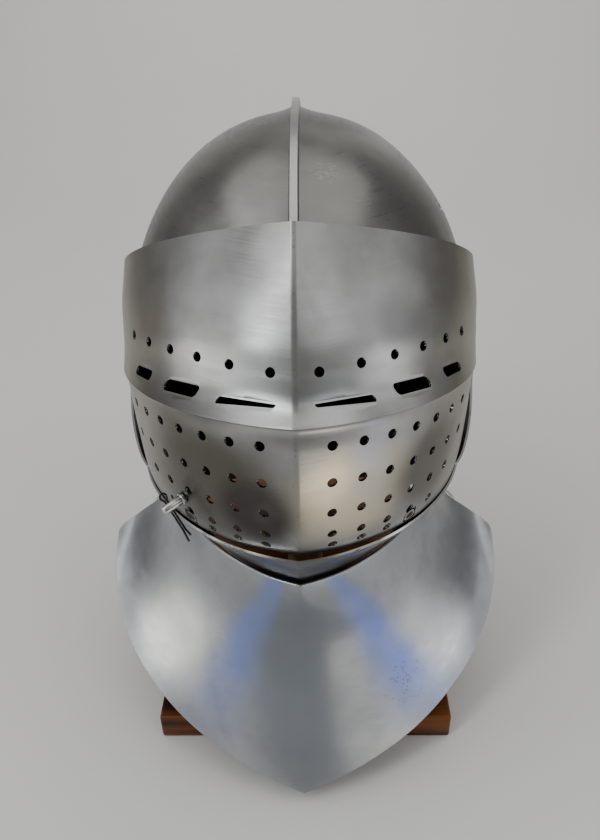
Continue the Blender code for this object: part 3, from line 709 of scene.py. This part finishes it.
visor = Sizes(
    brow=[
        Row(-0.1105, 0.4676, 0.62, 0.1390, 0.014, 0.41),
        Row(-0.1380, 0.4370, 0.50, 0.1418, 0.006, 0.29),
        Row(-0.1570, 0.4090, 0.40, 0.1420, 0.000, 0.26),
        Row(-0.1665, 0.3880, 0.31, 0.1418, -0.004, 0.27),
        Row(-0.1730, 0.3725, 0.25, 0.1418, -0.008, 0.22),
        ledge,
    ],
    muzzle=[
        ledge,
        Row(-0.1805, 0.3560, 0.20, 0.1405, -0.010, 0.22),
        Row(-0.1830, 0.3400, 0.15, 0.1405, -0.008, 0.24),
        Row(-0.1843, 0.3100, 0.09, 0.1405, -0.005, 0.26),
        Row(-0.1810, 0.2780, 0.02, 0.1400, -0.002, 0.25),
        Row(-0.1745, 0.2560, 0.01, 0.1392, 0.000, 0.20),
        Row(-0.1655, 0.2405, 0.00, 0.1375, 0.000, 0.12),
    ],
    # distances are from the crease; places change with them by the second number
    upperDistances=[0.016, 0.045, 0.071, 0.097, 0.123, 0.148], upperPlace=(0.6, -1.18),
    upperRadius=0.0034,
    # each sight: distance, length, height at the crease's end, height at the far end
    sights=[(0.034, 0.042, 0.0024, 0.0054), (0.087, 0.033, 0.008, 0.0086),
            (0.1335, 0.025, 0.0074, 0.0074)],
    sightPlace=(0.85, -0.65), sightLean=0.45, sightMargin=0.0014,
    breathPlaces=[(0.295, 0.35), (0.465, 0.42), (0.6, 0.62), (0.73, 1.1), (0.86, 0.6)],
    breathColumns=[7, 7, 6, 5, 4], breathFirst=0.0245, breathPitch=0.0228, breathRadius=0.0037,
    backEdge=[(-0.0142, 0.6), (-0.014, 0.38)],
    lowerEdge=[(-0.3, 0.15), (-0.07, 0.15), (-0.066, 0.24), (-0.052, 0.266), (-0.03, 0.288)],
    lobeRadius=0.03, endY=0.0478, columns=112, lines=108,
    waves=(0.0003, 0.04, 7.0), edge=0.00035,
)


class Plate:
    # one or two surfaces, one under the other, trimmed by lines seen from the side.
    # The flat sheet's x is the share along a row, its y the share down from the upper trim to the lower one.
    def __init__(self, surfaces, endY, upper, lower, columns):
        self.surfaces = surfaces
        self.endY = endY
        shares = np.linspace(0, 1, columns + 1)
        self.tops = np.array([self.trim(share, upper, 0.0) for share in shares])
        self.bottoms = np.array([self.trim(share, lower, float(len(surfaces))) for share in shares])
        self.shares = shares

    def endAt(self, place):
        return self.endY(place) if callable(self.endY) else self.endY

    def pointAt(self, share, depth):
        # depth is 0 to 1 down the first surface, and on to 2 down the second
        level = min(int(depth), len(self.surfaces) - 1)
        surface = self.surfaces[level]
        place = depth - level
        return surface.at(place, share * surface.distanceTo(place, self.endAt(place)))

    def trim(self, share, line, start):
        # the depth at which a column crosses a trim line
        if line is None:
            return start
        depths = np.linspace(start, len(self.surfaces) - start, 241)
        gaps = []
        for depth in depths:
            spot = self.pointAt(share, depth)
            gaps.append((spot.z - line(spot.y)) * (1 if start == 0 else -1))
        if gaps[0] <= 0:
            return start
        for i in range(1, len(gaps)):
            if gaps[i] <= 0:
                step = depths[i] - depths[i - 1]
                return float(depths[i - 1] + step * gaps[i - 1] / (gaps[i - 1] - gaps[i]))
        return float(depths[-1])

    def column(self, share):
        # the depths between which a column runs, and whether it crosses from one surface to the other
        top = float(np.interp(share, self.shares, self.tops))
        bottom = float(np.interp(share, self.shares, self.bottoms))
        return top, bottom, len(self.surfaces) == 2 and top < 1 < bottom

    def depthAt(self, share, drop):
        top, bottom, crosses = self.column(share)
        if crosses:
            return top + (1 - top) * drop * 2 if drop <= 0.5 else 1 + (bottom - 1) * (drop - 0.5) * 2
        return top + (bottom - top) * drop

    def toSheet(self, level):
        # from a surface's place and distance to the flat sheet
        def convert(place, distance):
            surface = self.surfaces[level]
            share = distance / surface.distanceTo(place, self.endAt(place))
            depth = level + place
            top, bottom, crosses = self.column(share)
            if crosses:
                drop = (depth - top) / (1 - top) / 2 if depth <= 1 else 0.5 + (depth - 1) / (bottom - 1) / 2
            else:
                drop = (depth - top) / (bottom - top)
            return share, drop

        return convert

    def pierce(self, sheet, level, place, distance, shape, margin=holeMargin):
        punch(sheet, onPlate(self.surfaces[level], place, distance, self.toSheet(level), shape), margin)

    def pierceAtHinge(self, sheet):
        place, distance = self.surfaces[0].find(hinge.y, hinge.z)
        self.pierce(sheet, 0, place, distance, roundHole(pivot.holeRadius))

    def shape(self, sheet):
        for vert in sheet.verts:
            vert.co = self.pointAt(vert.co.x, self.depthAt(vert.co.x, vert.co.y))


def makeVisor():
    # the upper trim falls down the back edge and round the upper half of the pivot lobe
    upper = sideLine([(-0.3, 0.6)] + visor.backEdge + lobeArc(visor.lobeRadius, 110, 0))
    lower = sideLine(visor.lowerEdge + lobeArc(visor.lobeRadius, -110, 0))
    surfaces = [PlateSurface(visor.brow), PlateSurface(visor.muzzle)]
    plate = Plate(surfaces, visor.endY, upper, lower, visor.columns)
    sheet = flatGrid(visor.columns, visor.lines)
    for distance in visor.upperDistances:
        place = visor.upperPlace[0] + visor.upperPlace[1] * distance
        plate.pierce(sheet, 0, place, distance, roundHole(visor.upperRadius))
    for distance, *size in visor.sights:
        place = visor.sightPlace[0] + visor.sightPlace[1] * distance
        plate.pierce(sheet, 0, place, distance, sightHole(*size, visor.sightLean), visor.sightMargin)
    for (first, change), columns in zip(visor.breathPlaces, visor.breathColumns):
        for column in range(columns):
            distance = visor.breathFirst + visor.breathPitch * column
            place = first + change * distance
            plate.pierce(sheet, 1, place, distance, roundHole(visor.breathRadius))
    plate.pierceAtHinge(sheet)
    plate.shape(sheet)
    makePlate("visor_plate", sheet, visor, "visorSteel", "visor", visorBody)


bevor = Sizes(
    rows=[
        Row(-0.1950, 0.3750, 0.10, 0.1447, -0.005, 0.25),
        Row(-0.1900, 0.3150, 0.05, 0.1447, -0.005, 0.28),
        Row(-0.1780, 0.2600, 0.00, 0.1440, -0.005, 0.22),
        Row(-0.1712, 0.2370, 0.00, 0.1370, -0.005, 0.17),
        Row(-0.1660, 0.2210, 0.00, 0.1150, -0.003, 0.23),
        Row(-0.1610, 0.2060, 0.00, 0.1035, 0.000, 0.25),
    ],
    rim=[(-0.3, 0.2379), (-0.052, 0.2379), (-0.044, 0.255), (-0.034, 0.277), (-0.014, 0.3)],
    lowerEdge=[(-0.3, 0.15), (0.01, 0.15), (0.012, 0.225), (0.04, 0.27)],
    lobeRadius=0.027, endY=0.0448, columns=120, lines=40,
    waves=(0.0002, 0.04, 11.0), edge=0.00035,
)


def makeBevor():
    upper = sideLine(bevor.rim + lobeArc(bevor.lobeRadius, 200, 0)[1:])
    lower = sideLine(bevor.lowerEdge + lobeArc(bevor.lobeRadius, -20, 0))
    plate = Plate([PlateSurface(bevor.rows)], bevor.endY, upper, lower, bevor.columns)
    sheet = flatGrid(bevor.columns, bevor.lines)
    plate.pierceAtHinge(sheet)
    plate.shape(sheet)
    makePlate("bevor_plate", sheet, bevor, "bevorSteel", "bevor")


gorget = Sizes(
    rows=[
        Row(-0.1675, 0.2120, -0.02, 0.1168, 0.010, 0.22),
        Row(-0.1690, 0.1800, -0.09, 0.1190, 0.006, 0.32),
        Row(-0.1745, 0.1400, -0.19, 0.1280, -0.002, 0.38),
        Row(-0.1850, 0.0950, -0.32, 0.1450, -0.012, 0.38, 0.50),
        Row(-0.1970, 0.0550, -0.45, 0.1635, -0.022, 0.39, 0.40),
        Row(-0.2110, 0.0200, -0.60, 0.1780, -0.030, 0.40, 0.30),
    ],
    seamY=0.004, seamGap=0.0014, corner=0.02, cornerPlace=0.62, columns=110, lines=100,
    waves=(0.0005, 0.055, 5.0), edge=0.0004,
    # below the neck the middle is rounded over this distance, which grows between two places
    round=0.055, roundFrom=0.05, roundTo=0.4, roundSlide=0.74,
)

rear = Sizes(
    # its middle line as (y, z), and how far down the front plate it reaches
    back=[(0.115, 0.213), (0.1155, 0.183), (0.123, 0.144), (0.139, 0.105), (0.161, 0.073),
          (0.19, 0.046)],
    share=0.6, columns=80, lines=60, waves=(0.0004, 0.05, 9.0), edge=0.0004,
)


def roundMiddle(surface, point, place):
    # draws a point near the crease inwards, so that the plate turns smoothly through its middle
    reach = gorget.round * smoothStep(place, gorget.roundFrom, gorget.roundTo)
    if not reach or point.x >= reach:
        return point
    stepPlace, stepAside = 0.02, 0.017
    down = surface.at(place + stepPlace, 0) - surface.at(place - stepPlace, 0)
    normal = (surface.at(place, stepAside) - surface.at(place, 0)).cross(down)
    inwards = Vector((0, normal.y, normal.z))
    tilt = -normal.x / inwards.length
    way = inwards.normalized() + down.normalized() * gorget.roundSlide
    return point + way * tilt * (reach - point.x) ** 2 / (2 * reach)


def makeFrontPlate():
    surface = PlateSurface(gorget.rows)

    def endY(place):
        corner = max(place - gorget.cornerPlace, 0) / (1 - gorget.cornerPlace)
        return gorget.seamY - gorget.corner * corner**2

    plate = Plate([surface], endY, None, None, gorget.columns)
    sheet = flatGrid(gorget.columns, gorget.lines)
    places = [vert.co.y for vert in sheet.verts]
    plate.shape(sheet)
    for vert, place in zip(sheet.verts, places):
        vert.co = roundMiddle(surface, vert.co, place)
    makePlate("front_gorget_plate", sheet, gorget, "gorgetSteel", "front_plate", outwards=(0, 0, 1))


def makeRearPlate():
    surface = PlateSurface(gorget.rows)
    backs = np.array(rear.back)
    spots = np.linspace(0, 1, len(backs))
    sheet = flatGrid(rear.columns, rear.lines)
    for vert in sheet.verts:
        place, turn = vert.co.y, pi / 2 * (1 - vert.co.x)
        share = place * rear.share
        edge = surface.at(share, surface.distanceTo(share, gorget.seamY))
        backY, backZ = (float(np.interp(place, spots, backs[:, i])) for i in (0, 1))
        y = edge.y + gorget.seamGap + (backY - edge.y) * sin(turn)
        z = edge.z + (backZ - edge.z) * sin(turn) ** 1.2
        vert.co = (edge.x * cos(turn), y, z)
    makePlate("rear_gorget_plate", sheet, rear, "rearSteel", "rear_plate")


def standing(point, way, across=Vector((0, 0, 1))):
    # a matrix with its Z along a way, and its X as near across as it can be
    z = way.normalized()
    y = z.cross(across).normalized()
    return Matrix.Translation(point) @ Matrix((y.cross(z), y, z)).transposed().to_4x4()


def lathe(profile, matrix, steps=32):
    # a turned piece from its profile of (radius, height), top to bottom
    blank = bmesh.new()
    spots = [blank.verts.new((radius, 0, height)) for radius, height in profile]
    edges = [blank.edges.new(pair) for pair in zip(spots, spots[1:])]
    ops.spin(
        blank, geom=spots + edges, cent=(0, 0, 0), axis=(0, 0, 1), angle=2 * pi,
        steps=steps, use_merge=True)
    ops.remove_doubles(blank, verts=blank.verts, dist=0.000005)
    ops.recalc_face_normals(blank, faces=blank.faces)
    ops.transform(blank, matrix=matrix, verts=blank.verts)
    return blank


def shadeFitting(piece, angle=35):
    piece.data.shade_smooth()
    piece.data.set_sharp_from_angle(angle=radians(angle))


def boxBlock(node):
    low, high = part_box(node)
    block = bmesh.new()
    ops.create_cube(block, size=1)
    ops.scale(block, verts=block.verts, vec=high - low)
    ops.translate(block, verts=block.verts, vec=(low + high) / 2)
    return block


def roundEdges(block, edges, width, segments):
    ops.bevel(block, geom=edges, offset=width, segments=segments, profile=0.5, affect="EDGES", material=-1)


pivot = Sizes(
    headRadius=0.0085, headHeight=0.0042, shank=0.004, domeSteps=8, steps=32,
    holeRadius=0.0045,
)


def makePin(node, ending, side, axis, size):
    # a pin along X with a domed head, as long as the box of its solid
    low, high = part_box(node)
    head = max(abs(low.x), abs(high.x)) - size.headHeight
    length = head - min(abs(low.x), abs(high.x))
    radius, height = size.headRadius, size.headHeight
    turns = [i * pi / 2 / size.domeSteps for i in range(size.domeSteps)]
    profile = [(radius * sin(turn), height * cos(turn)) for turn in turns]
    profile += [(radius, 0.0003), (radius - 0.0003, 0.0)]
    profile += [(size.shank, 0.0), (size.shank, -length), (0, -length)]
    pin = lathe(profile, standing(Vector((side * head, axis.y, axis.z)), Vector((side, 0, 0))), size.steps)
    shadeFitting(newPiece(node + ending, pin, ["fittingSteel"], node))


def makePivots():
    for side, node in ((-1, "pivot_left"), (1, "pivot_right")):
        makePin(node, "_bolt", side, hinge, pivot)


strap = Sizes(corner=0.003, edge=0.0003)
rivet = Sizes(headRadius=0.0042, headHeight=0.0018, shank=0.0019, domeSteps=6, steps=24)


def makeCollarStraps():
    for name, side in (("left", -1), ("right", 1)):
        node = "collar_strap_" + name
        block = boxBlock(node)
        through = [e for e in block.edges if abs((e.verts[0].co - e.verts[1].co).x) > 0.0005]
        roundEdges(block, through, strap.corner, 5)
        roundEdges(block, block.edges[:], strap.edge, 2)
        shadeFitting(newPiece(node + "_plate", block, ["rearSteel"], node))
        for end in ("front", "rear"):
            rivetNode = f"collar_rivet_{name}_{end}"
            low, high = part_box(rivetNode)
            makePin(rivetNode, "_head", side, (low + high) / 2, rivet)


lock = Sizes(
    place=0.745, distance=0.1, foot=0.0006, radius=0.0037, length=0.0185,
    crossHole=0.013, pinWay=Vector((0.52, -0.39, -0.76)), wire=0.0008, legGap=0.00015,
    # the pin's legs open from the bend to their ends
    eye=0.0026, neck=0.0018, bend=0.02, spread=0.0009, reach=0.029, shortLeg=0.026,
)


def lockPlace():
    # the stud's foot, the way it points and the pin's way through it, at the wearer's right
    surface = PlateSurface(visor.muzzle)
    foot = surface.at(lock.place, lock.distance)
    beside = surface.at(lock.place, lock.distance + 0.002) - foot
    below = surface.at(lock.place + 0.02, lock.distance) - foot
    out = below.cross(beside).normalized()
    flip = Vector((-1, 1, 1))
    foot, out = foot * flip, out * flip
    pinWay = (lock.pinWay - out * out.dot(lock.pinWay)).normalized()
    return foot, out, pinWay


def makeLock():
    foot, out, pinWay = lockPlace()
    radius, top = lock.radius, lock.length
    profile = [
        (0, top), (radius * 0.55, top - 0.0002), (radius * 0.85, top - 0.0008), (radius, top - 0.0018),
        (radius, 0.0026), (radius + 0.0006, 0.0022), (radius + 0.001, 0.0018), (radius + 0.001, 0.0003),
        (radius + 0.0007, 0), (0, 0),
    ]
    stud = lathe(profile, standing(foot + out * lock.foot, out, pinWay))
    shadeFitting(newPiece("lock_stud_turned", stud, ["fittingSteel"], "lock_stud", visorBody))
    centre = foot + out * lock.crossHole
    leg = lock.wire + lock.legGap
    neck = -radius - lock.neck
    route = [(lock.shortLeg, -leg - lock.spread), (lock.bend, -leg), (neck, -leg)]
    middle = neck - 1.25 * lock.eye
    for i in range(1, 24):
        turn = radians(45 + 270 * i / 24)
        route.append((middle + lock.eye * cos(turn), -lock.eye * sin(turn)))
    route += [(neck, leg), (lock.bend, leg), (lock.reach, leg + lock.spread)]
    wire = bpy.data.curves.new("lock_pin_wire", "CURVE")
    wire.dimensions = "3D"
    wire.bevel_depth = lock.wire
    wire.bevel_resolution = 4
    wire.use_fill_caps = True
    spline = wire.splines.new("POLY")
    spline.points.add(len(route) - 1)
    for spot, (along, sideways) in zip(spline.points, route):
        spot.co = (*(centre + pinWay * along + out * sideways), 1)
    newPiece("lock_pin_wire", wire, ["blackWire"], "lock_pin", visorBody)


stand = Sizes(
    boardEdge=0.0025, boardSharp=40,
    # the post is measured down from its top
    dome=0.006, domeSteps=10, cap=0.018, shaft=0.034, shaftRadius=0.018, steps=48,
)


def makeStand():
    block = boxBlock("stand_board")
    roundEdges(block, block.edges[:], stand.boardEdge, 4)
    board = newPiece("stand_board_plank", block, ["varnishedWood"], "stand_board")
    shadeFitting(board, stand.boardSharp)
    low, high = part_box("stand_post")
    cap, top = (high.x - low.x) / 2, high.z
    turns = [i / stand.domeSteps * pi / 2 for i in range(stand.domeSteps + 1)]
    profile = [(cap * sin(turn), top - stand.dome * (1 - cos(turn))) for turn in turns]
    profile += [(cap, top - stand.cap), (stand.shaftRadius, top - stand.shaft)]
    profile += [(stand.shaftRadius, low.z), (0, low.z)]
    post = lathe(profile, Matrix.Translation((0, (low.y + high.y) / 2, 0)), stand.steps)
    shadeFitting(newPiece("stand_post_turned", post, ["postWood"], "stand_post"))


studio = Sizes(
    # the floor runs back flat, bends up and climbs behind
    floor=(0.8, 0.79, 0.77), halfWidth=6, length=9.0, front=3.0, flat=4.5, bendLength=1.8,
    bendRadius=1.15,
    sky=(0.44, 0.44, 0.44, 1), skyStrength=0.55,
    cameraPlace=(0.0135, -0.58, 0.62), pitch=32.5, azimuth=1.5, roll=-1.4,
    lens=32.96, sensor=36,
)


def makeStudio():
    finish = Finish("paleFloor", Roughness=0.6)
    tone = finish.cloud((3, 3, 3), 2)
    finish.feed("Base Color", finish.mix(tone, studio.floor, tuple(0.96 * c for c in studio.floor)))
    sweep = bmesh.new()
    ops.create_grid(sweep, x_segments=8, y_segments=60, size=1)
    for vert in sweep.verts:
        run = (vert.co.y + 1) / 2 * studio.length
        bend = min(max(run - studio.flat, 0) / studio.bendLength, 1) * pi / 2
        climb = max(run - studio.flat - studio.bendLength, 0)
        y = min(run, studio.flat) + studio.bendRadius * sin(bend) - studio.front
        z = studio.bendRadius * (1 - cos(bend)) + climb
        vert.co = (vert.co.x * studio.halfWidth, y, z)
    floor = addObject("studio_floor", sweep)
    floor.data.shade_smooth()
    floor.data.materials.append(finish.material)


brow = (0, -0.14, 0.42)

# each light: place, target, size, radiance, colour
lights = {
    "overhead": ((0.0, 0.2, 2.1), (0, 0.2, 0), (2.8, 1.8), 1.0, (1.0, 0.99, 0.97)),
    "left sky": ((-1.5, -0.3, 1.15), brow, (0.9, 0.8), 0.8, (0.96, 0.98, 1.0)),
    "right sky": ((1.5, -0.35, 1.15), brow, (0.9, 0.8), 0.8, (0.98, 0.99, 1.0)),
    "left strip": ((-1.00, -1.00, 1.5), brow, (0.34, 1.5), 6.5, (0.96, 0.98, 1.0)),
    "right panel": ((1.04, -1.00, 1.47), brow, (0.7, 1.2), 1.2, (0.97, 0.98, 1.0)),
    "left window": ((-1.5, -0.6, 0.3), (0, -0.1, 0.15), (0.75, 0.6), 2.9, (1.0, 1.0, 0.98)),
    "right window": ((1.5, -0.7, 0.3), (0, -0.1, 0.15), (0.6, 0.6), 2.1, (0.98, 0.99, 1.0)),
    "backdrop": ((0, 1.3, 1.9), (0, 3.2, 0.2), (3.2, 1.2), 1.3, (1.0, 1.0, 0.99)),
    "warm card": ((0.215, -0.41, 0.012), (0.06, -0.17, 0.3), (0.21, 0.3), 1.7, (1.0, 0.92, 0.75)),
    "blue card": ((0.43, -0.36, 0.012), (0.06, -0.15, 0.14), (0.1, 0.22), 1.4, (0.3, 0.45, 1.0)),
}


def makeLights():
    # each is a rectangle of even brightness, seen in the steel but not by the camera
    for name, (place, target, size, radiance, colour) in lights.items():
        lamp = bpy.data.lights.new(name, "AREA")
        lamp.shape = "RECTANGLE"
        lamp.size, lamp.size_y = size
        lamp.energy = pi * size[0] * size[1] * radiance
        lamp.color = colour
        light = addObject(name, lamp)
        light.location = place
        light.rotation_euler = (Vector(target) - Vector(place)).to_track_quat("-Z", "Y").to_euler()
        light.visible_camera = False


def makeWorld():
    world = bpy.data.worlds.new("studio")
    world.use_nodes = True
    background = world.node_tree.nodes["Background"]
    background.inputs["Color"].default_value = studio.sky
    background.inputs["Strength"].default_value = studio.skyStrength
    bpy.context.scene.world = world


def makeCamera():
    pitch, azimuth, roll = map(radians, (studio.pitch, studio.azimuth, studio.roll))
    level = cos(pitch)
    ahead = Vector((-sin(azimuth) * level, cos(azimuth) * level, -sin(pitch)))
    right = Vector((cos(azimuth), sin(azimuth), 0))
    up = right.cross(ahead)
    right, up = cos(roll) * right + sin(roll) * up, cos(roll) * up - sin(roll) * right
    turn = Matrix((right, up, -ahead)).transposed().to_4x4()
    lens = bpy.data.cameras.new("camera")
    lens.lens = studio.lens
    lens.sensor_width = studio.sensor
    camera = addObject("camera", lens)
    camera.matrix_world = Matrix.Translation(studio.cameraPlace) @ turn
    bpy.context.scene.camera = camera


finishes = makeFinishes()
makeSkull()
print("skull made")
makeVisor()
print("visor made")
makeBevor()
makeFrontPlate()
makeRearPlate()
print("bevor and gorget made")
makePivots()
makeCollarStraps()
makeLock()
makeStand()
print("fittings and stand made")
makeStudio()
makeLights()
makeWorld()
makeCamera()
print("studio made")
